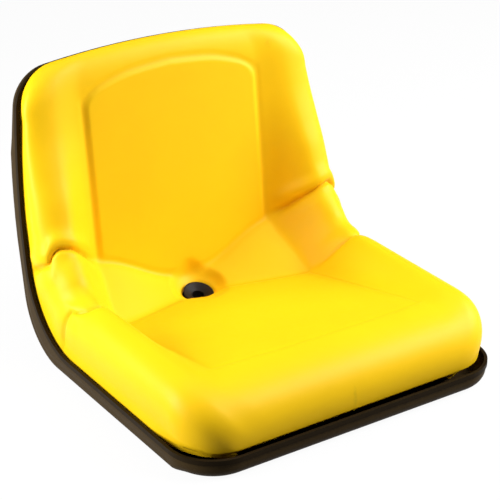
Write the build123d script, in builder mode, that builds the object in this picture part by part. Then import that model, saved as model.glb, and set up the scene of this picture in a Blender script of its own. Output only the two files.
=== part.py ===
"""Bucket seat for a garden tractor: a moulded cushion in a pressed steel pan.

Millimetres. The origin is the middle of the four mounting holes, on the underside of the pan.
X runs across the seat, the front of the seat faces -Y and Z is up.
"""

import os
from math import cos, pi, radians, sin, tan

from build123d import *

# Rim of the pan, seen from the side: a level seat run, a bend and a reclined back run
seat_length = 430.0
back_length = 383.0
recline = 7.0
rim_bend = 110.0
corner_y = 228.0

# Rim of the pan, seen from above and square to the back
half_width = 242.0
front_corner = 64.0
arch_angle = 7.5
shoulder = 62.0
side_angle = 7.5
back_taper = 14.0

# Pressed sheet
sheet = 1.2
pan_depth = 28.0
pan_bend = 90.0
pan_edge = 18.0

# Stiffening beads pressed into the pan
bead_width = 26.0
bead_depth = 5.0
bead_slope = 35.0
seat_bead_x = 52.0
seat_bead_length = 190.0
back_bead_x = 88.0
back_bead_length = 170.0
back_bead_centre = 220.0

# Rubber trim pushed over the edge of the sheet
trim_wall = 1.6
trim_reach = 5.0
trim_grip = 0.1

# Moulded cushion: heights are above the rim, square to it
cushion_gap = 2.0
bed_gap = 0.3
front_height = 80.0
rear_height = 43.0
valley_height = 4.0
panel_foot_height = 15.0
panel_height = 22.0
seat_bolster = 104.0
waist_lift = 16.0
back_bolster = 78.0
crown_bolster = 33.0
crown_rise = 38.0
crown_edge = 30.0
crown_shelf = 298.0
crown_flare = 12.0
front_roll = 80.0
top_roll = 48.0
roll_power = 2.3
fan_height = 190.0
side_power = 3.0
side_share = 0.4
bolster_foot = 0.58
bolster_crest = 0.86
valley_place = 0.45

# Drain, square to the pan's bend
drain_angle = 19.0
drain_bore = 9.0
drain_tube = 11.0
drain_cup = 22.5
drain_wall = 2.0
drain_cup_depth = 7.0
drain_length = 42.0
drain_fit = 0.3

# Mounting holes and the nuts welded over them
hole_spacing_x = 203.2
hole_spacing_y = 152.4
bolt_hole = 4.2
nut_flats = 12.7
nut_height = 6.8
nut_bore = 3.4
nut_pocket_gap = 1.5

# Sections of the cushion, closer together towards its front and top edges
front_sections = 6
front_spacing = 2.5
seat_sections = 3
waist_sections = 5
back_sections = 4
crown_sections = 6
crown_spacing = 2.0
half_points = 10
point_spacing = 1.3

far = 300.0
rim_z = pan_depth
turn = 90.0 - recline
back_sin = sin(radians(recline))
back_cos = cos(radians(recline))
back_tan = tan(radians(recline))
fan_tangent = fan_height * tan(radians(turn / 2))
front_y = corner_y - seat_length
seat_run = seat_length - fan_tangent
shoulder_reach = shoulder * (cos(radians(side_angle)) - sin(radians(arch_angle)))
arch_reach = half_width - back_taper - shoulder_reach
arch = arch_reach / sin(radians(arch_angle))
flank = back_taper / (1 - cos(radians(side_angle)))
trim_inset = sheet + trim_grip + trim_wall
cushion_inset = trim_inset + cushion_gap
bed_inset = sheet + bed_gap
cushion_skirt = 2 * pan_depth + bed_gap
cushion_level = rim_bend + pan_depth

seat_plane = Plane((0, front_y, rim_z))
back_plane = Plane((0, corner_y, rim_z), x_dir=(1, 0, 0), z_dir=(0, -back_cos, back_sin))
back_side = Plane((0, corner_y, rim_z), x_dir=(0, back_sin, back_cos), z_dir=(1, 0, 0))


def level_corner(level):
    """Where the seat run and the back run at one level above the rim would meet, in Y and Z."""
    return corner_y + level * (back_tan - 1 / back_cos), rim_z + level


def level_points(level):
    """The two runs at one level, drawn past the front and past the top."""
    y, z = level_corner(level)
    reach = back_length + far
    return (front_y - far, z), (y, z), (y + reach * back_sin, z + reach * back_cos)


def seat_outline(inset):
    """Rim from above, measured back from the front edge: straight front, round corners, straight sides."""
    with BuildSketch() as outline:
        with BuildLine():
            front = Line((0, inset), (half_width - front_corner, inset))
            corner = JernArc(front @ 1, (1, 0), front_corner - inset, 90)
            side = Line(corner @ 1, (half_width - inset, seat_length + far))
            Line(side @ 1, (0, seat_length + far))
            mirror(about=Plane.YZ)
        make_face()
    return outline.sketch


def back_outline(inset):
    """Rim square to the back, measured up from the seat: tapering sides, round shoulders, arched top."""
    with BuildSketch() as outline:
        with BuildLine():
            top = JernArc((0, back_length - inset), (1, 0), arch - inset, -arch_angle)
            corner = JernArc(top @ 1, top % 1, shoulder - inset, arch_angle + side_angle - 90)
            side = JernArc(corner @ 1, corner % 1, flank - inset, -side_angle)
            edge = Line(side @ 1, (half_width - inset, -far))
            Line(edge @ 1, (0, -far))
            mirror(about=Plane.YZ)
        make_face()
    return outline.sketch


def half_chord(outline, station):
    """Half the width of an outline at one station."""
    chord = Edge.make_line((-far, station), (far, station))
    return (outline.face() & chord).edge().length / 2


def tray_block(inset, top, top_bend, bottom, bottom_bend):
    """A block that follows the rim, between two levels and set in from the pan's outer face."""
    with BuildPart() as block:
        with BuildSketch(Plane.YZ):
            with BuildLine():
                upper = FilletPolyline(*level_points(top), radius=top_bend)
                lower = FilletPolyline(*level_points(bottom), radius=bottom_bend)
                Line(upper @ 0, lower @ 0)
                Line(upper @ 1, lower @ 1)
            make_face()
        extrude(amount=half_width + far, both=True)
        with BuildSketch(seat_plane):
            add(seat_outline(inset))
        extrude(amount=back_length + far, both=True, mode=Mode.INTERSECT)
        with BuildSketch(back_plane):
            add(back_outline(inset))
        extrude(amount=seat_length + far, both=True, mode=Mode.INTERSECT)
    return block.part


def rim_ring(inset, reach):
    """A block inside the rim that stands past it both ways, to hollow out what follows the rim."""
    return tray_block(inset, reach, rim_bend - reach, -pan_depth - reach, rim_bend + pan_depth + reach)


def pan_block(inset, level, level_bend):
    """The inside or the outside of the pan, up to a level, with its bottom edge rounded all the way round."""
    floor_bend = pan_bend - inset
    block = tray_block(inset, level, level_bend, inset - pan_depth, floor_bend)
    with BuildPart() as rounded:
        add(block)
        base = rounded.faces().sort_by(Axis.Z)[0]
        back = rounded.faces().filter_by(back_plane).sort_by(Axis.Y)[-1]
        curves = rounded.faces().filter_by(GeomType.CYLINDER)
        bend = curves.filter_by(lambda face: abs(face.radius - floor_bend) < bed_gap / 10)[0]
        edges = base.edges() + bend.edges().filter_by(Axis.X, reverse=True) + back.edges()
        seams = bend.edges().filter_by(Axis.X)
        fillet(edges - seams, radius=pan_edge - inset)
    return rounded.part


def bead_block(plane, centre, length, growth):
    """A pair of pressed beads that stand up from a plane."""
    with BuildPart() as beads:
        with BuildSketch(plane):
            with Locations(*((side * centre[0], centre[1]) for side in (-1, 1))):
                SlotOverall(length + 2 * growth, bead_width + 2 * growth, rotation=90)
        extrude(amount=bead_depth + growth, taper=bead_slope)
    return beads.part


def seat_beads(height, growth=0):
    """The beads under the seat, from a height above the ground."""
    return bead_block(Plane.XY.offset(height), (seat_bead_x, 0), seat_bead_length, growth)


def back_beads(height, growth=0):
    """The beads behind the back, from a height above the sheet's outer face."""
    plane = back_plane.offset(height - pan_depth)
    return bead_block(plane, (back_bead_x, back_bead_centre), back_bead_length, growth)


def spread(first, last, count):
    """Evenly spaced places after the first, up to the last."""
    return [first + (last - first) * step / count for step in range(1, count + 1)]


def ease(first, last, share):
    """A smooth change from one value to another."""
    share = min(max(share, 0.0), 1.0)
    return first + (last - first) * share * share * (3 - 2 * share)


def rolled(distance, length):
    """How much of its height the cushion has at a distance from the edge that it rolls down to."""
    rest = min(max(1 - distance / length, 0.0), 1.0)
    return (1 - rest**roll_power) ** (1 / roll_power)


def bolstered(x, width, centre, bolster):
    """Height of a section at a place across it: flat in the middle, then a bolster with a rolled outer edge."""
    across = min(x / width, 1.0)
    rise = side_share + (1 - side_share) * (1 - across**side_power) ** (1 / side_power)
    share = (across - bolster_foot) / (bolster_crest - bolster_foot)
    return rise * ease(centre, bolster, share)


def cushion_section(plane, width, height):
    """One section of the cushion, from a function for its height across half its width."""
    points = []
    for share in spread(0, 1, half_points):
        x = width * sin(pi / 2 * share**point_spacing) ** (2 / side_power)
        points.append((x, height(x)))
    left = [(-x, z) for x, z in reversed(points)]
    with BuildSketch(plane) as section:
        with BuildLine():
            crown = Spline(*left, (0, height(0)), *points)
            Polyline(crown @ 1, (width, -cushion_skirt), (-width, -cushion_skirt), crown @ 0)
        make_face()
    return section.sketch


def seat_section(distance):
    """A section across the seat, at a distance from the cushion's front edge."""
    share = max(distance - front_roll, 0.0) / (seat_run - cushion_inset - front_roll)
    roll = rolled(distance, front_roll)
    centre = roll * (front_height + (rear_height - front_height) * share)
    plane = Plane((0, front_y + cushion_inset + distance, rim_z), x_dir=(1, 0, 0), z_dir=(0, -1, 0))
    width = half_chord(seat_outline(cushion_inset), cushion_inset + distance)
    return cushion_section(plane, width, lambda x: bolstered(x, width, centre, roll * seat_bolster))


def waist_section(share):
    """A section across the waist, on a plane that turns about a line above the seat."""
    angle = radians(turn * share)
    pivot = Vector(corner_y - fan_tangent, rim_z + fan_height)
    rim = FilletPolyline(*level_points(0), radius=rim_bend, mode=Mode.PRIVATE)
    ray = Edge.make_line(pivot, pivot + 2 * fan_height * Vector(sin(angle), -cos(angle)))
    foot = (rim & ray).vertices()[0]
    plane = Plane((0, foot.X, foot.Y), x_dir=(1, 0, 0), z_dir=(0, -cos(angle), -sin(angle)))
    before = ease(rear_height, valley_height, share / valley_place)
    after = ease(valley_height, panel_foot_height, 2 * (share - valley_place))
    centre = before if share < valley_place else after
    bolster = ease(seat_bolster, back_bolster, share) + waist_lift * sin(pi * share)
    width = half_width - cushion_inset
    return cushion_section(plane, width, lambda x: bolstered(x, width, centre, bolster))


def back_section(distance):
    """A section across the back, at a distance from the top of the cushion."""
    place = back_length - cushion_inset - distance
    share = (place - fan_tangent) / (back_length - cushion_inset - top_roll - fan_tangent)
    roll = rolled(distance, top_roll)
    centre = roll * ease(panel_foot_height, panel_height, share)
    bolster = roll * ease(back_bolster, crown_bolster, share)
    foot = (0, corner_y + place * back_sin, rim_z + place * back_cos)
    plane = Plane(foot, x_dir=(1, 0, 0), z_dir=(0, -back_sin, -back_cos))
    width = half_chord(back_outline(cushion_inset), min(place, crown_shelf))
    return cushion_section(plane, width, lambda x: bolstered(x, width, centre, bolster))


def crown_limit():
    """Room for the cushion inside the arched top of the rim, with a round front edge along the arch."""
    with BuildPart() as limit:
        with BuildSketch(back_plane.offset(-far)):
            with BuildLine():
                top = JernArc((0, back_length - cushion_inset), (1, 0), arch - cushion_inset, -arch_angle)
                corner = JernArc(top @ 1, top % 1, shoulder - cushion_inset, arch_angle + crown_flare - 90)
                side = Line(corner @ 1, corner @ 1 + 2 * far * (corner % 1))
                Line(side @ 1, (0, (side @ 1).Y))
                mirror(about=Plane.YZ)
            make_face()
        extrude(amount=far + crown_rise)
        front = limit.faces().filter_by(back_plane).sort_by(Axis.Y)[0]
        fillet(front.edges().filter_by(Axis.X, reverse=True), radius=crown_edge)
        with BuildSketch(back_side):
            with BuildLine():
                Polyline(
                    (-far, -far),
                    (crown_shelf, -far),
                    (crown_shelf, crown_rise),
                    (fan_tangent, 2 * back_bolster),
                    (fan_tangent, seat_length + far),
                    (-far, seat_length + far),
                    close=True,
                )
            make_face()
        extrude(amount=far, both=True)
    return limit.part


def cushion_top():
    """The moulded top of the cushion, lofted from the front edge over the waist to the top edge."""
    fronts = [front_roll * share**front_spacing for share in spread(0, 1, front_sections)]
    crowns = [top_roll * share**crown_spacing for share in spread(0, 1, crown_sections)]
    lowest = back_length - cushion_inset - fan_tangent
    sections = [seat_section(place) for place in fronts]
    sections += [seat_section(place) for place in spread(front_roll, seat_run - cushion_inset, seat_sections)]
    sections += [waist_section(share) for share in spread(0, 1, waist_sections)]
    sections += [back_section(place) for place in spread(lowest, top_roll, back_sections)]
    sections += [back_section(place) for place in reversed(crowns[:-1])]
    with BuildPart() as top:
        loft(sections)
    return top.part


def drain_plane(radius):
    """A plane square to the drain, at a radius from the middle of the pan's bend."""
    y, z = level_corner(-pan_depth)
    y -= pan_bend * tan(radians(turn / 2))
    angle = radians(drain_angle)
    place = (0, y + radius * sin(angle), z + pan_bend - radius * cos(angle))
    return Plane(place, x_dir=(1, 0, 0), z_dir=(0, -sin(angle), cos(angle)))


drain_foot = drain_plane(pan_bend)
drain_axis = Axis(drain_foot.origin, drain_foot.z_dir)
drain_section = Plane(drain_foot.origin, x_dir=drain_foot.x_dir, z_dir=-drain_foot.y_dir)
cup_foot = drain_length - drain_cup_depth
mount_holes = (hole_spacing_x, hole_spacing_y, 2, 2)
nut_corner = nut_flats / 2 / cos(radians(30))

pan_outer = pan_block(0, 0, rim_bend)
pan_inner = pan_block(sheet, 0, rim_bend)

with BuildPart() as seat_pan:
    add(pan_outer)
    add(pan_inner, mode=Mode.SUBTRACT)
    add(seat_beads(sheet))
    add(seat_beads(0), mode=Mode.SUBTRACT)
    add(back_beads(sheet))
    add(back_beads(0), mode=Mode.SUBTRACT)
    with GridLocations(*mount_holes):
        Hole(bolt_hole)
    with BuildSketch(drain_plane(pan_bend + sheet)):
        Circle(drain_tube + drain_fit)
    extrude(amount=3 * sheet, mode=Mode.SUBTRACT)

trim_top = trim_grip + trim_wall
trim_outside = tray_block(-trim_top, trim_top, rim_bend - trim_top, -trim_reach, rim_bend + trim_reach)
trim_inside = rim_ring(trim_inset, trim_top + trim_reach)
slot_outside = tray_block(-trim_grip, trim_grip, rim_bend - trim_grip, -pan_depth, rim_bend + pan_depth)
slot_inside = rim_ring(sheet + trim_grip, trim_reach)

with BuildPart() as trim_slot:
    add(slot_outside)
    add(slot_inside, mode=Mode.SUBTRACT)

with BuildPart() as edge_trim:
    add(trim_outside)
    add(trim_inside, mode=Mode.SUBTRACT)
    add(trim_slot.part, mode=Mode.SUBTRACT)

with BuildPart() as drain_grommet:
    with BuildSketch(drain_section):
        with BuildLine():
            Polyline(
                (drain_bore, 0),
                (drain_tube, 0),
                (drain_tube, cup_foot),
                (drain_cup, drain_length),
                (drain_cup - drain_wall, drain_length),
                (drain_bore, cup_foot + drain_wall),
                close=True,
            )
        make_face()
    revolve(axis=drain_axis)

cushion_crown = cushion_top()
cushion_limit = crown_limit()
cushion_bed = pan_block(bed_inset, cushion_level, pan_edge)
room_inset = trim_inset + bed_gap
cushion_room = tray_block(room_inset, cushion_level, pan_edge, -2 * pan_depth, rim_bend + 2 * pan_depth)

with BuildPart() as cushion:
    add(cushion_crown)
    add(cushion_limit, mode=Mode.INTERSECT)
    add(cushion_room, mode=Mode.INTERSECT)
    add(cushion_bed, mode=Mode.INTERSECT)
    add(seat_beads(bed_inset, bed_gap), mode=Mode.SUBTRACT)
    add(back_beads(bed_inset, bed_gap), mode=Mode.SUBTRACT)
    with BuildSketch(Plane.XY.offset(bed_inset)):
        with GridLocations(*mount_holes):
            Circle(nut_corner + nut_pocket_gap)
    extrude(amount=nut_height + nut_pocket_gap, mode=Mode.SUBTRACT)
    with BuildSketch(drain_section):
        with BuildLine():
            Polyline(
                (0, 0),
                (drain_tube + drain_fit, 0),
                (drain_tube + drain_fit, cup_foot),
                (drain_cup + drain_fit, drain_length),
                (drain_cup + drain_fit, 2 * drain_length),
                (0, 2 * drain_length),
                close=True,
            )
        make_face()
    revolve(axis=drain_axis, mode=Mode.SUBTRACT)

with BuildPart() as weld_nuts:
    with BuildSketch(Plane.XY.offset(sheet)):
        with GridLocations(*mount_holes):
            RegularPolygon(nut_corner, 6)
            Circle(nut_bore, mode=Mode.SUBTRACT)
    extrude(amount=nut_height)

pieces = {
    "cushion": cushion,
    "seat_pan": seat_pan,
    "edge_trim": edge_trim,
    "drain_grommet": drain_grommet,
    "weld_nuts": weld_nuts,
}
os.makedirs("parts", exist_ok=True)
for name, piece in pieces.items():
    piece.part.label = name
    export_step(piece.part, f"parts/{name}.step")
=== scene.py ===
"""Dresses the bucket seat: a moulded vinyl cushion, a painted pan, rubber trim and a small studio."""

from math import cos, pi, radians, sin, tan

import bmesh
import bpy
import numpy as np
from bpy.props import FloatProperty, FloatVectorProperty, IntProperty, PointerProperty
from mathutils import Matrix, Vector


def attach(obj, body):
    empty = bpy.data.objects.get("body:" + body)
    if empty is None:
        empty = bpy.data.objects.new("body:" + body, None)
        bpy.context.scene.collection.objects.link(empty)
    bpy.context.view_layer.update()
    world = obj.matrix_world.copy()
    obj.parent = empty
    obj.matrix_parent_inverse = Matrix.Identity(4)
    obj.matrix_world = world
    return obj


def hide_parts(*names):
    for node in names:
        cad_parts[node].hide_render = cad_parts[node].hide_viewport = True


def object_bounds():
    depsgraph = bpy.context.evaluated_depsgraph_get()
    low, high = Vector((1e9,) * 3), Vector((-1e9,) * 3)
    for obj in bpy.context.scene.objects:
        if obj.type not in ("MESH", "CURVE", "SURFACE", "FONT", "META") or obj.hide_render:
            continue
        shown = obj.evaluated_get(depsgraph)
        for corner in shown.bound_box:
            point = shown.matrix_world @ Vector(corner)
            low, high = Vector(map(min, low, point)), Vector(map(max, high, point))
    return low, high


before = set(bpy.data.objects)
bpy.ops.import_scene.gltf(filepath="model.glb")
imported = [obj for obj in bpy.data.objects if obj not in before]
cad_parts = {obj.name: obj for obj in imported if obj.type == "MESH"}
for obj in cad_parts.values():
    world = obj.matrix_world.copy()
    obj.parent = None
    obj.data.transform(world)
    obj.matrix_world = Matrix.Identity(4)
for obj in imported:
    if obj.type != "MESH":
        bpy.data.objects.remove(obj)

bl_info = {
    "name": "Bucket seat",
    "version": (1, 0, 0),
    "blender": (4, 5, 0),
    "location": "View3D > Sidebar > Seat",
    "description": "Moulded cushion, pan finishes and studio for a garden tractor's bucket seat",
    "category": "Object",
}

CAD_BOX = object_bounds()
MM = 0.001

# Rim of the pan from the side, in millimetres, in the frame of the solids
RIM_Z = 28.0
SEAT_LENGTH = 430.0
BACK_LENGTH = 383.0
RECLINE = radians(7.0)
RIM_BEND = 110.0
CORNER_Y = 228.0
HALF_WIDTH = 242.0
BACK_TAPER = 14.0
FLANK_ANGLE = radians(7.5)
ARCH = 1340.0
EDGE_INSET = 5.2
FRONT_INSET = 9.5
FRONT_SKEW = 2.5
LAP = 7.5
LAP_LEVEL = 2.6
LAP_TUCK = 11.0
FRONT_LIFT = 5.5
FRONT_TUCK = 7.0
FRONT_TUCK_FADE = (110.0, 80.0)
LAP_FADE = (150.0, 90.0)

# Rings that take the skin's edge inside the rim: level, level at the front, lap, lap at the front, inset
TUCK_RINGS = (
    (LAP_LEVEL, FRONT_LIFT, 0.5, 0.6, 0.0),
    (LAP_LEVEL, FRONT_LIFT - 1, 1.0, 2.6, 0.0),
    (-10.0, -10.0, 1.0, 2.6, 0.0),
    (-15.0, -15.0, 1.0, 2.6, 10.0),
)

# The waist's sections turn about a line above the rim
FAN_HEIGHT = 190.0
FAN_SCALE = 150.0
TURN = pi / 2 - RECLINE
FAN_TANGENT = FAN_HEIGHT * tan(TURN / 2)
BEND_TANGENT = RIM_BEND * tan(TURN / 2)
FRONT_Y = CORNER_Y - SEAT_LENGTH
SEAT_RUN = SEAT_LENGTH - FAN_TANGENT
FAN_END = SEAT_RUN + TURN * FAN_SCALE
PATH_END = FAN_END + BACK_LENGTH + LAP - FAN_TANGENT
PIVOT = (CORNER_Y - FAN_TANGENT, RIM_Z + FAN_HEIGHT)

# Seat pad and back panel, as lines in the side view
PAD_POINT = (-110.0, 103.0)
PAD_SLOPE = 0.1835
PANEL_POINT = (224.0, 118.0)
PANEL_SLOPE = 0.0982

# Outside of the pressed pan: its depth under the rim, its bend and the round of its bottom edge
PAN_DEPTH = 28.0
PAN_BEND = 90.0
PAN_EDGE = 18.0
PAN_CORNER_Y = CORNER_Y + PAN_DEPTH * (1 / cos(RECLINE) - tan(RECLINE))
PAN_MIDDLE = (PAN_CORNER_Y - PAN_BEND * tan(TURN / 2), PAN_BEND)

# Shares of the half width at the pad's edge and the bolster's crest
FOOT_SHARE = 0.5
CREST_SHARE = 0.73

# Half the width of the back panel
PANEL_HALF = 138.0

# The waist's folds on each side: distance from the middle and waist angle in degrees
UPPER_FOLD = ((142, 59.2), (160, 60), (188, 63.5), (207, 67), (222, 68.5), (231, 66), (236, 61))
LOWER_FOLD = ((160, 24), (185, 21.5), (205, 19), (222, 19.5), (231, 23), (236, 29))
UPPER_LIP = 4.0
LOWER_LIP = 1.5

# The drain: middle of its cup, slope of its axis, hole, well and dish round it
DRAIN = Vector((0.0, 188.8, 44.6))
DRAIN_ANGLE = radians(19.0)
DRAIN_HOLE = 23.2
DRAIN_WELL = 27.0
DRAIN_DISH = 46.0

# Faint marks on the skin, in metres: middle and reach
SCUFF = ((-0.005, -0.194, 0.05), (0.004, 0.03, 0.019))
SMUDGE = ((0.163, 0.247, 0.377), (0.007, 0.03, 0.009))

# Soft lights: name, place, target, size in metres, power in watts
LAMPS = (
    ("left_softbox", (-1.5, 0.45, 0.6), (-0.1, 0.15, 0.25), 0.8, 38),
    ("right_softbox", (2.1, -0.7, 1.2), (0, 0.05, 0.2), 1.3, 48),
    ("front_softbox", (1.3, -1.1, 1.7), (0, 0.2, 0.3), 1.0, 44),
    ("top_softbox", (0.0, 0.1, 2.6), (0, 0.05, 0.2), 2.0, 19),
)
WORLD_LIGHT = 0.03
FLOOR_SIZE = 24.0
FLOOR_BOUNCE = 0.18
FLOOR_WHITE = 0.9
FLOOR_GLOW = 0.95

# The photograph's point of view
CAMERA_PLACE = (-0.9786, -1.4587, 0.9538)
CAMERA_RIGHT = (0.8362, -0.5483, -0.0115)
CAMERA_FORWARD = (0.498, 0.7678, -0.403)
CAMERA_LENS = 104.9
CAMERA_SENSOR = 36.0


def on_seat(y):
    """Place along the rim for a distance across the ground."""
    return y - FRONT_Y


def on_waist(degrees):
    """Place along the rim for an angle round the waist."""
    return SEAT_RUN + np.radians(degrees) * FAN_SCALE


def on_back(height):
    """Place along the rim for a height up the back."""
    return FAN_END + height - FAN_TANGENT


def smooth(share):
    """A smooth change from 0 to 1."""
    share = np.clip(share, 0.0, 1.0)
    return share * share * (3 - 2 * share)


def through(knots, x):
    """A smooth curve through knots that never passes beyond them."""
    kx, ky = np.array(knots, float).T
    step = np.diff(kx)
    slope = np.diff(ky) / step
    bend = slope[:-1] * slope[1:]
    middle = np.where(bend > 0, 2 * bend / np.where(bend > 0, slope[:-1] + slope[1:], 1), 0)
    tangent = np.concatenate([slope[:1], middle, slope[-1:]])
    x = np.clip(x, kx[0], kx[-1])
    i = np.clip(np.searchsorted(kx, x, "right") - 1, 0, len(step) - 1)
    t = (x - kx[i]) / step[i]
    rise = tangent[i] * step[i] * t * (1 - t) ** 2 - tangent[i + 1] * step[i] * t * t * (1 - t)
    return ky[i] * (1 + 2 * t) * (1 - t) ** 2 + ky[i + 1] * t * t * (3 - 2 * t) + rise


def soft_least(a, b, blend):
    """The lesser of two lengths, rounded where they meet."""
    share = np.clip(0.5 + (b - a) / (2 * blend), 0, 1)
    return b + (a - b) * share - blend * share * (1 - share)


def rolled(distance, length, power):
    """How much of its height the cushion has at a distance from the edge that it rolls down to."""
    rest = np.clip(1 - distance / length, 0, 1)
    return (1 - rest**power) ** (1 / power)


def rim_reach(angle):
    """Distance from the fan's line to the rim."""
    arm = FAN_TANGENT - BEND_TANGENT
    drop = FAN_HEIGHT - RIM_BEND
    along = arm * np.sin(angle) + drop * np.cos(angle)
    reach = along + np.sqrt(np.maximum(along**2 - arm**2 - drop**2 + RIM_BEND**2, 0))
    seat = FAN_HEIGHT / np.cos(angle)
    back = FAN_HEIGHT / np.cos(TURN - angle)
    reach = np.where(seat * np.sin(angle) <= arm, seat, reach)
    return np.where(back * np.sin(TURN - angle) <= arm, back, reach)


def rim_place(path):
    """Rim point and the direction square to the rim, along the rim."""
    angle = np.clip((path - SEAT_RUN) / FAN_SCALE, 0, TURN)
    up = np.maximum(path - FAN_END, 0) + FAN_TANGENT
    reach = rim_reach(angle)
    spots = [path < SEAT_RUN, path > FAN_END]
    y = np.select(spots, [FRONT_Y + path, CORNER_Y + up * sin(RECLINE)], PIVOT[0] + reach * np.sin(angle))
    z = np.select(spots, [RIM_Z + 0 * path, RIM_Z + up * cos(RECLINE)], PIVOT[1] - reach * np.cos(angle))
    return y, z, -np.sin(angle), np.cos(angle)


def line_reach(angle, y0, z0, y1, z1):
    """Distance from the fan's line to a straight line in the side view."""
    run, rise = y1 - y0, z1 - z0
    down = np.sin(angle) * rise + np.cos(angle) * run
    return ((y0 - PIVOT[0]) * rise - (z0 - PIVOT[1]) * run) / np.where(np.abs(down) > 1e-3, down, 1e-3)


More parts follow.
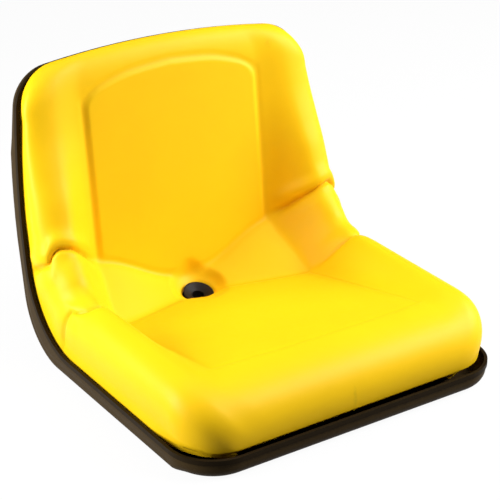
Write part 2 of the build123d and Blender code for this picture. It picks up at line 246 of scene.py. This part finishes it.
class Cushion:
    """The moulded surface of the cushion, as a function of places across and along it."""

    def __init__(self, sizes):
        self.sizes = sizes

    def pad_edge(self, path):
        """Half the width of the pad or panel."""
        knots = [(0, 168), (on_seat(-110), 165), (on_waist(24), 156), (on_waist(59), 140), (PATH_END, 138)]
        return through(knots, path)

    def crest_place(self, path):
        """Distance of the bolster's crest from the middle."""
        knots = [(0, 205), (on_seat(0), 207), (on_waist(45), 211), (on_back(200), 203), (PATH_END, 190)]
        return through(knots, path)

    def crest_height(self, path):
        """Height of the bolster's crest above the rim."""
        knots = [
            (0, 84), (on_seat(-100), 87), (on_waist(0), 92), (on_waist(16), 93), (on_waist(32), 102),
            (on_waist(44), 101), (on_waist(54), 92), (on_waist(63), 79), (on_waist(70), 73),
            (on_waist(83), 64), (on_back(196), 58), (on_back(232), 47), (on_back(285), 35), (PATH_END, 27),
        ]
        return through(knots, path)

    def half_width(self, path):
        """Half the width of the cushion along the rim."""
        side = HALF_WIDTH - EDGE_INSET
        up = np.maximum(path - FAN_END, 0) + FAN_TANGENT
        flank = BACK_TAPER / (1 - cos(FLANK_ANGLE))
        start = BACK_LENGTH - 62 - flank * sin(FLANK_ANGLE)
        lean = np.clip((up - start) / flank, 0, sin(FLANK_ANGLE))
        return side - flank * (1 - np.sqrt(1 - lean**2))

    def lower_crease(self, x):
        """Waist angle of the seat pad's rear edge."""
        return np.radians(through([(0, 33.5), (22, 34.5), (60, 31.8), (156, 24.1), (240, 20)], np.abs(x)))

    def upper_crease(self, x):
        """Waist angle of the back panel's bottom edge."""
        return np.radians(through([(0, 46.5), (30, 47.3), (137, 58.6), (240, 62)], np.abs(x)))

    def middle_height(self, x, path):
        """Height of the pad, the waist and the panel above the rim."""
        angle = np.clip((path - SEAT_RUN) / FAN_SCALE, 0, TURN)
        up = np.maximum(path - FAN_END, 0) + FAN_TANGENT
        low, high = self.lower_crease(x), self.upper_crease(x)
        pad_y, pad_z = PAD_POINT
        pad = line_reach(angle, pad_y, pad_z, pad_y + 1, pad_z - PAD_SLOPE)
        panel = line_reach(angle, *PANEL_POINT, PANEL_POINT[0] + PANEL_SLOPE, PANEL_POINT[1] + 1)
        low_reach = line_reach(low, pad_y, pad_z, pad_y + 1, pad_z - PAD_SLOPE)
        low_reach = low_reach + self.sizes.waist_step * 1000
        high_reach = line_reach(high, *PANEL_POINT, PANEL_POINT[0] + PANEL_SLOPE, PANEL_POINT[1] + 1)
        ly, lz = PIVOT[0] + low_reach * np.sin(low), PIVOT[1] - low_reach * np.cos(low)
        hy, hz = PIVOT[0] + high_reach * np.sin(high), PIVOT[1] - high_reach * np.cos(high)
        waist = line_reach(angle, ly, lz, hy, hz)
        pad = np.where((pad > 0) & (pad < 400), pad, 400)
        panel = np.where((panel > 0) & (panel < 400), panel, 400)
        waist = np.where((waist > 0) & (waist < 400), waist, 400)
        fan = rim_reach(angle) - soft_least(soft_least(pad, waist, 5.0), panel, 5.0)
        flat = PAD_POINT[1] - RIM_Z - PAD_SLOPE * (FRONT_Y + path - PAD_POINT[0])
        lean = CORNER_Y - PANEL_POINT[0] - PANEL_SLOPE * (RIM_Z - PANEL_POINT[1])
        lean = lean + up * (sin(RECLINE) - PANEL_SLOPE * cos(RECLINE))
        lean = lean / (cos(RECLINE) + PANEL_SLOPE * sin(RECLINE))
        return np.select([path < SEAT_RUN, path > FAN_END], [flat, lean], fan)

    def place(self, across, along):
        """Points of the surface before its creases: across from -1 to 1, along from 0 to 1."""
        side = np.sign(across)
        u = np.abs(across)
        length = PATH_END - FRONT_INSET - EDGE_INSET
        run = self.row_place(along) * length
        front, top = run, length - run
        corner = self.sizes.front_corner * 1000
        shoulder = self.sizes.shoulder * 1000
        path = FRONT_INSET + run
        width = self.half_width(path)
        cut = corner - np.sqrt(np.maximum(corner**2 - np.clip(corner - front, 0, None) ** 2, 0))
        cut = cut + shoulder - np.sqrt(np.maximum(shoulder**2 - np.clip(shoulder - top, 0, None) ** 2, 0))
        scale = (width - cut) / width
        foot, crest, edge = self.pad_edge(path) * scale, self.crest_place(path) * scale, width * scale
        turn = np.clip((u - CREST_SHARE) / (1 - CREST_SHARE), 0, 1) * pi / 2
        power = 2 / self.sizes.side_power
        roll = rolled(front, self.sizes.front_roll * 1000, self.sizes.roll_power)
        bulge = self.sizes.side_bulge * 1000 * np.sin(np.clip(turn * 2, 0, pi)) * roll * smooth(top / 60)
        rise = np.clip((u - FOOT_SHARE) / (CREST_SHARE - FOOT_SHARE), 0, 1)
        x = np.select(
            [u < FOOT_SHARE, u < CREST_SHARE],
            [foot * u / FOOT_SHARE, foot + (crest - foot) * rise],
            crest + (edge + bulge - crest) * np.sin(turn) ** power,
        )
        path = path - smooth((run / length - 0.62) / 0.38) * x * x / (2 * ARCH)
        path = path + FRONT_SKEW * side * x / HALF_WIDTH * smooth(1 - front / 160)
        crown = self.crest_height(path)
        level = self.middle_height(x, path)
        height = level + (crown - level) * smooth(rise)
        wall = self.sizes.side_wall
        fall = wall + (1 - wall) * np.cos(turn) ** power
        height = np.where(u > CREST_SHARE, crown * fall, height)
        path = path - self.sizes.front_bulge * 1000 * np.sin(pi * roll) * np.cos(turn)
        roll = roll * rolled(top, self.sizes.top_roll * 1000, self.sizes.roll_power)
        y, z, ny, nz = rim_place(path)
        height = np.maximum(height * roll, LAP_LEVEL * smooth(2 - top / 40))
        height = np.maximum(height, FRONT_LIFT * smooth(2 - front / 40))
        return np.stack([side * x, y + ny * height, z + nz * height], -1), path, height

    def row_place(self, along):
        """Rows lie closer together where the front and the top roll down."""
        knots = [(0, 0), (0.02, 0.0006), (0.05, 0.006), (0.09, 0.026), (0.16, 0.085), (0.9, 0.945)]
        knots += [(0.95, 0.983), (0.98, 0.9965), (1, 1)]
        return through(knots, along)

    def reach(self, path, height):
        """How long a step along the rim is on the surface, round the waist."""
        angle = np.clip((path - SEAT_RUN) / FAN_SCALE, 0, TURN)
        fan = (rim_reach(angle) - height) / FAN_SCALE
        return np.where((path > SEAT_RUN) & (path < FAN_END), fan, 1.0)


def ridge(distance, width):
    """A soft ridge: 1 on a line, fading to 0 beside it."""
    return np.exp(-((distance / width) ** 2))


def length(name, description, size):
    """A size in metres that can be set in the panel."""
    return FloatProperty(name=name, description=description, default=size, unit="LENGTH")


def share(name, description, value):
    """A plain number that can be set in the panel."""
    return FloatProperty(name=name, description=description, default=value)


def tint(name, description, colour):
    """A colour that can be set in the panel."""
    return FloatVectorProperty(name=name, description=description, subtype="COLOR", default=colour)


class SeatSizes(bpy.types.PropertyGroup):
    """Sizes of the moulded cushion."""

    columns: IntProperty(name="Columns", description="Faces across the cushion", default=250, min=40)
    rows: IntProperty(name="Rows", description="Faces along the cushion", default=360, min=40)
    front_corner: length("Front corner", "Radius of the front corners", 0.06)
    shoulder: length("Shoulder", "Radius of the top corners", 0.05)
    front_roll: length("Front roll", "Depth of the rolled front edge", 0.084)
    top_roll: length("Top roll", "Depth of the rolled top edge", 0.05)
    roll_power: share("Roll fullness", "How full the rolled edges are", 2.3)
    side_power: share("Side fullness", "How full the sides are", 2.5)
    side_bulge: length("Side bulge", "How far the sides swell", 0.01)
    front_bulge: length("Front bulge", "How far the front swells", 0.006)
    side_wall: share("Side wall", "Share of the height that is upright", 0.14)
    waist_step: length("Waist step", "Drop behind the seat pad", 0.004)
    panel_rise: length("Panel rise", "Height of the panel's edge", 0.0024)
    edge_power: share("Pan edge", "How square the pan's bottom edge is at the sides", 7.0)
    fold_depth: length("Fold depth", "Depth of the waist's folds", 0.0055)


class SeatColours(bpy.types.PropertyGroup):
    """Colours of the seat's pieces."""

    vinyl: tint("Vinyl", "Cushion's skin", (0.93, 0.57, 0.006))
    paint: tint("Paint", "Pan's paint", (0.042, 0.027, 0.011))
    trim: tint("Trim", "Edge trim", (0.018, 0.0115, 0.005))
    drain: tint("Drain", "Drain cup", (0.009, 0.006, 0.005))
    nut: tint("Nuts", "Steel of the nuts", (0.45, 0.45, 0.46))


class Wire:
    """A node's output that takes part in sums."""

    def __init__(self, finish, socket):
        self.finish = finish
        self.socket = socket

    def sum(self, operation, left, right):
        return self.finish.node("ShaderNodeMath", {"operation": operation}, {0: left, 1: right})

    def __add__(self, other):
        return self.sum("ADD", self, other)

    def __mul__(self, other):
        return self.sum("MULTIPLY", self, other)


class Finish:
    """One material, built node by node."""

    def __init__(self, name):
        self.material = bpy.data.materials.new(name)
        self.material.use_nodes = True
        self.tree = self.material.node_tree
        self.tree.nodes.clear()

    def node(self, kind, settings, inputs, output=0):
        """Adds a node, sets it up and gives its sockets values or links."""
        made = self.tree.nodes.new(kind)
        for key, value in settings.items():
            if key == "stops":
                self.stops(made.color_ramp, value)
            else:
                setattr(made, key, value)
        for key, value in inputs.items():
            if isinstance(value, Wire):
                self.tree.links.new(value.socket, made.inputs[key])
            else:
                made.inputs[key].default_value = value
        return Wire(self, made.outputs[output]) if made.outputs else None

    def stops(self, ramp, stops):
        """Gives a ramp its stops."""
        while len(ramp.elements) < len(stops):
            ramp.elements.new(0.5)
        for element, (place, shade) in zip(ramp.elements, stops):
            element.position = place
            element.color = (shade, shade, shade, 1)

    def ramp(self, value, *stops):
        """A grey ramp over a value."""
        return self.node("ShaderNodeValToRGB", {"stops": stops}, {0: value})

    def noise(self, scale, detail=3.0, roughness=0.5):
        """A noise on the object's own coordinates."""
        sockets = {"Vector": self.coordinates(), "Scale": scale, "Detail": detail, "Roughness": roughness}
        return self.node("ShaderNodeTexNoise", {}, sockets)

    def cells(self, scale):
        """A cell pattern on the object's own coordinates."""
        return self.node("ShaderNodeTexVoronoi", {}, {"Vector": self.coordinates(), "Scale": scale})

    def spot(self, place, reach):
        """A soft round mark at a place on the object."""
        here = self.coordinates()
        away = self.node("ShaderNodeVectorMath", {"operation": "SUBTRACT"}, {0: here, 1: place})
        away = self.node("ShaderNodeVectorMath", {"operation": "DIVIDE"}, {0: away, 1: reach})
        away = self.node("ShaderNodeVectorMath", {"operation": "LENGTH"}, {0: away}, "Value")
        return self.ramp(away, (0.15, 1.0), (1.0, 0.0))

    def coordinates(self):
        return self.node("ShaderNodeTexCoord", {}, {}, "Object")

    def mix(self, factor, first, second):
        """One colour over another."""
        return self.node("ShaderNodeMix", {"data_type": "RGBA"}, {0: factor, 6: first, 7: second}, 2)

    def bump(self, height, strength, distance, normal=None):
        sockets = {"Height": height, "Strength": strength, "Distance": distance}
        if normal:
            sockets["Normal"] = normal
        return self.node("ShaderNodeBump", {}, sockets)

    def surface(self, sockets):
        """Ends the material with one shaded surface."""
        shader = self.node("ShaderNodeBsdfPrincipled", {}, sockets)
        self.end(shader)

    def end(self, shader):
        self.node("ShaderNodeOutputMaterial", {}, {"Surface": shader})


def opaque(colour, level=1.0):
    """A colour for a shader's socket, lighter or darker."""
    return tuple(channel * level for channel in colour) + (1,)


def vinyl_finish(colours):
    """Grained yellow vinyl with painted shade in its creases, and faint marks of handling."""
    finish = Finish("grained_vinyl")
    colour = tuple(colours.vinyl)
    # Painted shade: this attribute darkens the colour in the creases, the panel's edge, the folds and the
    # drain's well
    crease = finish.node("ShaderNodeAttribute", {"attribute_name": "crease"}, {}, "Fac")
    cloud = finish.noise(9.0, 4.0, 0.55)
    cloud = finish.ramp(cloud, (0.3, 0.0), (0.7, 1.0))
    tone = finish.mix(cloud, opaque(colour, 0.965), opaque(colour, 1.02))
    # Darker, more orange colour painted into the creases as shade
    deep = (colour[0] * 0.8, colour[1] * 0.62, colour[2] * 0.4, 1)
    tone = finish.mix(crease * 0.75, tone, deep)
    patchy = finish.ramp(finish.noise(240.0, 3.0), (0.35, 0.2), (0.65, 1.0))
    marks = (finish.spot(*SCUFF) * 0.5 + finish.spot(*SMUDGE) * 0.35) * patchy
    tone = finish.mix(marks, tone, opaque(colour, 0.62))
    rough = finish.noise(160.0, 3.0) * 0.1 + 0.42
    grain = finish.cells(900.0) * 0.6 + finish.noise(1500.0, 2.0) * 0.5
    soft = finish.bump(finish.noise(26.0, 2.0), 0.12, 0.002)
    normal = finish.bump(grain, 0.2, 0.0004, soft)
    finish.surface({"Base Color": tone, "Roughness": rough, "Normal": normal, "Specular IOR Level": 0.14})
    return finish.material


def paint_finish(colours):
    """Dark satin paint on pressed steel, with a faint orange-peel and a little dust."""
    finish = Finish("pan_paint")
    dust = finish.ramp(finish.noise(14.0, 5.0, 0.6), (0.35, 0.0), (0.75, 1.0))
    tone = finish.mix(dust * 0.35, opaque(colours.paint), opaque(colours.paint, 1.5))
    rough = finish.noise(60.0, 3.0) * 0.12 + 0.4
    normal = finish.bump(finish.noise(420.0, 2.0), 0.1, 0.0006)
    finish.surface({"Base Color": tone, "Roughness": rough, "Normal": normal, "Specular IOR Level": 0.03})
    return finish.material


def trim_finish(colours):
    """Extruded rubber edging with a soft shine."""
    finish = Finish("trim_rubber")
    wear = finish.noise(35.0, 4.0)
    tone = finish.mix(wear, opaque(colours.trim, 0.85), opaque(colours.trim, 1.2))
    rough = finish.noise(90.0, 3.0) * 0.15 + 0.36
    normal = finish.bump(finish.noise(600.0, 2.0), 0.08, 0.0004)
    finish.surface({"Base Color": tone, "Roughness": rough, "Normal": normal, "Specular IOR Level": 0.03})
    return finish.material


def drain_finish(colours):
    """Black moulded plastic."""
    finish = Finish("drain_plastic")
    tone = finish.mix(finish.noise(120.0, 3.0), opaque(colours.drain, 0.8), opaque(colours.drain, 1.3))
    rough = finish.noise(200.0, 2.0) * 0.15 + 0.42
    normal = finish.bump(finish.noise(900.0, 2.0), 0.08, 0.0003)
    finish.surface({"Base Color": tone, "Roughness": rough, "Normal": normal, "Specular IOR Level": 0.2})
    return finish.material


def nut_finish(colours):
    """Bare steel, a little dull."""
    finish = Finish("nut_steel")
    dull = finish.noise(300.0, 4.0)
    tone = finish.mix(dull, opaque(colours.nut, 0.8), opaque(colours.nut, 1.1))
    finish.surface({"Base Color": tone, "Roughness": dull * 0.2 + 0.35, "Metallic": 1.0})
    return finish.material


def white_finish(name):
    """White for the floor: plain to the camera, and still shaded where the seat stands."""
    finish = Finish(name)
    light = finish.node("ShaderNodeLightPath", {}, {}, "Is Camera Ray")
    glossy = finish.node("ShaderNodeLightPath", {}, {}, "Is Glossy Ray")
    bounce = finish.mix(light, (FLOOR_BOUNCE,) * 3 + (1,), (FLOOR_WHITE,) * 3 + (1,))
    shade = finish.node("ShaderNodeBsdfDiffuse", {}, {"Color": bounce})
    plain = finish.node("ShaderNodeEmission", {}, {"Color": (1, 1, 1, 1), "Strength": 1.0})
    share = finish.node("ShaderNodeMath", {"operation": "MAXIMUM"}, {0: light, 1: glossy}) * FLOOR_GLOW
    finish.end(finish.node("ShaderNodeMixShader", {}, {0: share, 1: shade, 2: plain}))
    return finish.material


def alone(piece):
    """Selects one object and nothing else."""
    bpy.ops.object.select_all(action="DESELECT")
    piece.select_set(True)
    bpy.context.view_layer.objects.active = piece


class SEAT_OT_cushion(bpy.types.Operator):
    """Moulds the cushion from a grid: its form, its creases and folds, its tucked edge and its drain"""

    bl_idname = "seat.cushion"
    bl_label = "Cushion"

    def execute(self, context):
        sizes = context.scene.seat_sizes
        form = Cushion(sizes)
        bpy.ops.object.select_all(action="DESELECT")
        bpy.ops.mesh.primitive_grid_add(x_subdivisions=sizes.columns, y_subdivisions=sizes.rows, size=2)
        piece = context.object
        piece.name = piece.data.name = "vinyl_cushion"
        self.mould(piece, form)
        self.tuck(piece, form)
        self.pierce(piece)
        alone(piece)
        bpy.ops.object.shade_smooth_by_angle(angle=radians(50))
        piece.data.materials.clear()
        piece.data.materials.append(vinyl_finish(context.scene.seat_colours))
        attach(piece, "root")
        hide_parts("cushion")
        return {"FINISHED"}

    def mould(self, piece, form):
        """Moves the grid's points to the moulded surface."""
        mesh = piece.data
        flat = np.zeros(len(mesh.vertices) * 3)
        mesh.vertices.foreach_get("co", flat)
        flat = flat.reshape(-1, 3)
        across, along = flat[:, 0], (flat[:, 1] + 1) / 2
        for name, values in (("across", across), ("along", along)):
            mesh.attributes.new(name, "FLOAT", "POINT").data.foreach_set("value", values)
        points, path, height = form.place(across, along)
        order = np.lexsort((across, along))
        rows = len(np.unique(np.round(along, 6)))
        grid = points[order].reshape(rows, -1, 3)
        normal = np.cross(np.gradient(grid, axis=1), np.gradient(grid, axis=0)).reshape(-1, 3)
        normal = normal / np.maximum(np.linalg.norm(normal, axis=1, keepdims=True), 1e-9)
        normals = np.zeros_like(points)
        normals[order] = normal
        push, crease = self.creases(form, points, path, height)
        points = points + normals * push[:, None]
        # The attribute holds painted shade for the vinyl's colour in creases and hollows
        mesh.attributes.new("crease", "FLOAT", "POINT").data.foreach_set("value", crease)
        mesh.vertices.foreach_set("co", (points * MM).ravel())
        mesh.update()

    def creases(self, form, points, path, height):
        """How far each point is pushed out or in by the panel's edge, the creases and the folds, and how
        much painted shade darkens its colour there.
        """
        sizes = form.sizes
        x = np.abs(points[:, 0])
        step = form.reach(path, height)
        push = np.zeros(len(points))
        # Painted shade mask: grooves at the panel's edge, creases, folds and the drain's well are darkened
        # in the colour
        crease = np.zeros(len(points))

        foot = on_waist(np.degrees(form.upper_crease(x)))
        arch = through([(0, on_back(351)), (60, on_back(346)), (110, on_back(333)), (137, on_back(318))], x)
        depth = soft_least(PANEL_HALF - x, (path - foot) * step * 0.94, 9.0)
        depth = soft_least(depth, (arch - path) * 0.97, 14.0)
        rise = sizes.panel_rise * 1000
        push += rise * smooth((depth + 2) / 8) - 0.35 * rise * ridge(depth + 4.5, 4.0)
        crease = np.maximum(crease, 0.3 * ridge(depth + 2.5, 2.4))

        low = on_waist(np.degrees(form.lower_crease(x)))
        behind = (path - low) * step * 0.96
        rear = smooth((x - 20) / 14) * smooth((160 - x) / 8)
        push -= 1.8 * rear * ridge(behind - 1, 3.0)
        crease = np.maximum(crease, 0.35 * rear * ridge(behind - 1, 2.6))
        front_line = on_seat(-118 + 6 * (x / 165) ** 2)
        beside = x - form.pad_edge(path)
        along_side = smooth((path - front_line + 3) / 6) * smooth((low - path + 4) / 8)
        push -= 0.7 * along_side * ridge(beside, 2.8)
        crease = np.maximum(crease, 0.14 * along_side * ridge(beside, 2.6))
        across_front = smooth((168 - x) / 8)
        push -= 0.6 * across_front * ridge(path - front_line, 3.2)
        crease = np.maximum(crease, 0.14 * across_front * ridge(path - front_line, 3.0))

        fold = sizes.fold_depth * 1000
        for spots, deep, lip in ((UPPER_FOLD, fold, UPPER_LIP), (LOWER_FOLD, fold / 2, LOWER_LIP)):
            first, last = spots[0][0], spots[-1][0]
            away = (path - on_waist(through(spots, np.clip(x, first, last)))) * 0.85
            reach = smooth((x - first) / 30)
            push -= reach * deep * ridge(away, 2.8)
            push += reach * lip * (ridge(away - 13, 10) + 0.5 * ridge(away + 14, 11))
            crease = np.maximum(crease, 0.7 * reach * ridge(away, 2.2))

        push += 4.0 * ridge(x - 212, 26) * ridge(path - on_waist(53), 22)

        axis = np.array((0, -sin(DRAIN_ANGLE), cos(DRAIN_ANGLE)))
        offset = points - np.array(DRAIN)
        lift = offset @ axis
        ring = np.linalg.norm(offset - lift[:, None] * axis, axis=1)
        near = (lift > -30) & (lift < 40)
        ahead = -(offset @ np.array((0, cos(DRAIN_ANGLE), sin(DRAIN_ANGLE))))
        level = 1 - 0.8 * smooth((ahead + 4) / 22)
        push -= np.where(near, level * (lift + 1.0) * smooth((DRAIN_DISH - ring) / 22), 0)
        push -= np.where(near, level * 5 * smooth((DRAIN_WELL - ring) / 6), 0)
        crease = np.maximum(crease, np.where(near, 0.4 * smooth((DRAIN_WELL - ring) / 5), 0))
        return push, np.clip(crease, 0, 1)

    def tuck(self, piece, form):
        """Takes the edge of the surface down inside the rim and closes the underside."""
        mesh = piece.data
        alone(piece)
        bpy.ops.object.mode_set(mode="EDIT")
        bpy.ops.mesh.select_mode(type="EDGE")
        for level, front_level, lap, front_lap, inset in TUCK_RINGS:
            bpy.ops.mesh.select_all(action="DESELECT")
            bpy.ops.mesh.select_non_manifold(
                extend=False, use_wire=False, use_boundary=True,
                use_multi_face=False, use_non_contiguous=False, use_verts=False,
            )
            bpy.ops.mesh.extrude_edges_move()
            bpy.ops.object.mode_set(mode="OBJECT")
            chosen = np.array([v.index for v in mesh.vertices if v.select])
            across = np.array([mesh.attributes["across"].data[i].value for i in chosen])
            along = np.array([mesh.attributes["along"].data[i].value for i in chosen])
            points, path, height = form.place(across, along)
            path = path - lap * LAP_TUCK * smooth((path - PATH_END + LAP_FADE[0]) / LAP_FADE[1])
            corner = form.sizes.front_corner * 1000
            front = form.row_place(along) * (PATH_END - FRONT_INSET - EDGE_INSET)
            ahead = np.clip(1 - front / corner, 0, 1)
            near = smooth((FRONT_TUCK_FADE[0] - front) / FRONT_TUCK_FADE[1])
            level = level + (front_level - level) * near
            tucked = front_lap * FRONT_TUCK * near
            path = path + tucked * ahead
            inward = inset + tucked * np.sqrt(1 - ahead**2)
            side = np.where(np.abs(across) > 0.999, inward, 0) * np.sign(across)
            y, z, ny, nz = rim_place(path)
            ends = np.where(along < 0.001, inset, np.where(along > 0.999, -inset, 0))
            y, z = y + ny * level + nz * ends, z + nz * level - ny * ends
            points = np.stack([points[:, 0] - side, y, z], -1)
            for i, spot in zip(chosen, points):
                mesh.vertices[i].co = spot * MM
            bpy.ops.object.mode_set(mode="EDIT")
        bpy.ops.object.mode_set(mode="OBJECT")
        self.close(mesh)

    def close(self, mesh):
        """Closes the underside from side to side, row by row."""
        shape = bmesh.new()
        shape.from_mesh(mesh)
        across = shape.verts.layers.float["across"]
        along = shape.verts.layers.float["along"]
        rim = [v for v in shape.verts if any(e.is_boundary for e in v.link_edges)]
        left = sorted((v for v in rim if v[across] < -0.999), key=lambda v: v[along])
        right = sorted((v for v in rim if v[across] > 0.999), key=lambda v: v[along])
        inner = sorted((v for v in rim if abs(v[across]) < 0.999), key=lambda v: v[across])
        front = [v for v in inner if v[along] < 0.0001]
        top = [v for v in inner if v[along] > 0.9999]
        last = len(left) - 2
        for i in range(len(left) - 1):
            loop = [left[i + 1], left[i]] + (front if i == 0 else []) + [right[i], right[i + 1]]
            loop += top[::-1] if i == last else []
            shape.faces.new(loop)
        bmesh.ops.recalc_face_normals(shape, faces=shape.faces[:])
        shape.to_mesh(mesh)
        shape.free()

    def pierce(self, piece):
        """Cuts the drain's hole through the cushion."""
        turn = Matrix.Rotation(DRAIN_ANGLE, 4, "X")
        middle = (DRAIN + turn @ Vector((0, 0, 5))) * MM
        bpy.ops.mesh.primitive_cylinder_add(
            vertices=96, radius=DRAIN_HOLE * MM, depth=0.09, location=middle, rotation=(DRAIN_ANGLE, 0, 0)
        )
        cutter = bpy.context.object
        alone(piece)
        cut = piece.modifiers.new("drain", "BOOLEAN")
        cut.operation = "DIFFERENCE"
        cut.solver = "EXACT"
        cut.object = cutter
        bpy.ops.object.modifier_apply(modifier=cut.name)
        bpy.data.objects.remove(cutter)


class SEAT_OT_pan(bpy.types.Operator):
    """Paints the pan and gives the trim, the drain and the nuts their finishes"""

    bl_idname = "seat.pan"
    bl_label = "Pan and fittings"

    def execute(self, context):
        colours = context.scene.seat_colours
        self.press(context)
        finishes = {
            "edge_trim": trim_finish(colours),
            "drain_grommet": drain_finish(colours),
            "weld_nuts": nut_finish(colours),
        }
        for name, material in finishes.items():
            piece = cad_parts[name]
            piece.data.materials.clear()
            piece.data.materials.append(material)
        return {"FINISHED"}

    def press(self, context):
        """The pan with its bottom edge pressed squarer along the sides."""
        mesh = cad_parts["seat_pan"].data.copy()
        piece = bpy.data.objects.new("pressed_pan", mesh)
        context.collection.objects.link(piece)
        shape = bmesh.new()
        shape.from_mesh(mesh)
        bmesh.ops.remove_doubles(shape, verts=shape.verts[:], dist=1e-6)
        points = np.array([v.co for v in shape.verts]) / MM
        for vertex, spot in zip(shape.verts, self.squared(points, context.scene.seat_sizes.edge_power)):
            vertex.co = spot * MM
        shape.to_mesh(mesh)
        shape.free()
        alone(piece)
        bpy.ops.mesh.customdata_custom_splitnormals_clear()
        bpy.ops.object.shade_smooth_by_angle(angle=radians(35))
        mesh.materials.clear()
        mesh.materials.append(paint_finish(context.scene.seat_colours))
        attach(piece, "root")
        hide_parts("seat_pan")

    def squared(self, points, edge_power):
        """Points of the pan, with the round of its bottom edge filled out at the sides."""
        x, y, z = points.T
        from_y, from_z = y - PAN_MIDDLE[0], PAN_MIDDLE[1] - z
        angle = np.clip(np.arctan2(from_y, from_z), 0, TURN)
        down_y, down_z = np.sin(angle), -np.cos(angle)
        inner = PAN_BEND - (from_y * down_y - from_z * down_z)
        up = (y - CORNER_Y) * sin(RECLINE) + (z - RIM_Z) * cos(RECLINE)
        width = Cushion(None).half_width(FAN_END + up - FAN_TANGENT) + EDGE_INSET
        beside = width - np.abs(x)
        out = np.clip(PAN_EDGE - beside, 0, PAN_EDGE)
        deep = np.clip(PAN_EDGE - inner, 0, PAN_EDGE)
        far = np.maximum(np.hypot(out, deep), 1e-6)
        share = smooth((y - FRONT_Y - 40) / 50) * smooth((300 - up) / 50)
        power = 2 + (edge_power - 2) * share
        grow = ((out / far) ** power + (deep / far) ** power + (far < 0.01)) ** (-1 / power) - 1
        grow = np.minimum(grow, PAN_EDGE / np.maximum(np.maximum(out, deep), 1e-6) - 1)
        grow = np.where((out > 0) & (deep > 0), grow, 0)
        x = x + np.sign(x) * out * grow
        return np.stack([x, y + down_y * deep * grow, z + down_z * deep * grow], -1)


class SEAT_OT_studio(bpy.types.Operator):
    """Sets the floor, the soft lights and the camera"""

    bl_idname = "seat.studio"
    bl_label = "Studio"

    def execute(self, context):
        scene = context.scene
        scene.view_settings.view_transform = "Standard"
        bpy.ops.object.select_all(action="DESELECT")
        bpy.ops.mesh.primitive_plane_add(size=FLOOR_SIZE, location=(0, 4, CAD_BOX[0][2]))
        floor = context.object
        floor.name = "floor"
        floor.data.materials.append(white_finish("white_floor"))
        for lamp in LAMPS:
            self.lamp(*lamp)
        self.world(scene)
        self.camera(scene)
        return {"FINISHED"}

    def lamp(self, name, place, target, size, power):
        """One soft square light aimed at the seat."""
        bpy.ops.object.light_add(type="AREA", location=place)
        lamp = bpy.context.object
        lamp.name = name
        lamp.data.size = size
        lamp.data.energy = power
        lamp.rotation_euler = (Vector(target) - Vector(place)).to_track_quat("-Z", "Y").to_euler()

    def world(self, scene):
        """A little soft light from all round."""
        world = bpy.data.worlds.new("studio")
        world.use_nodes = True
        world.node_tree.nodes["Background"].inputs["Color"].default_value = (1, 1, 1, 1)
        world.node_tree.nodes["Background"].inputs["Strength"].default_value = WORLD_LIGHT
        scene.world = world

    def camera(self, scene):
        """The photograph's point of view."""
        right = Vector(CAMERA_RIGHT).normalized()
        forward = Vector(CAMERA_FORWARD).normalized()
        up = right.cross(forward)
        turn = Matrix((right, up, -forward)).transposed().to_4x4()
        bpy.ops.object.camera_add()
        camera = bpy.context.object
        camera.name = "photo_camera"
        camera.matrix_world = Matrix.Translation(CAMERA_PLACE) @ turn
        camera.data.sensor_width = CAMERA_SENSOR
        camera.data.lens = CAMERA_LENS
        camera.data.clip_end = 100
        scene.camera = camera


class SEAT_PT_panel(bpy.types.Panel):
    """Lists the seat's pieces, sizes and colours"""

    bl_idname = "SEAT_PT_panel"
    bl_label = "Bucket seat"
    bl_space_type = "VIEW_3D"
    bl_region_type = "UI"
    bl_category = "Seat"

    def draw(self, context):
        for group in (context.scene.seat_sizes, context.scene.seat_colours):
            box = self.layout.box()
            for name in group.__annotations__:
                box.prop(group, name)
        for step in OPERATORS:
            self.layout.operator(step.bl_idname)


OPERATORS = (SEAT_OT_cushion, SEAT_OT_pan, SEAT_OT_studio)
CLASSES = (SeatSizes, SeatColours) + OPERATORS + (SEAT_PT_panel,)


def register():
    for part in CLASSES:
        bpy.utils.register_class(part)
    bpy.types.Scene.seat_sizes = PointerProperty(type=SeatSizes)
    bpy.types.Scene.seat_colours = PointerProperty(type=SeatColours)


def unregister():
    del bpy.types.Scene.seat_sizes
    del bpy.types.Scene.seat_colours
    for part in reversed(CLASSES):
        bpy.utils.unregister_class(part)


def main():
    register()
    bpy.ops.seat.cushion()
    bpy.ops.seat.pan()
    bpy.ops.seat.studio()


if __name__ == "__main__":
    main()
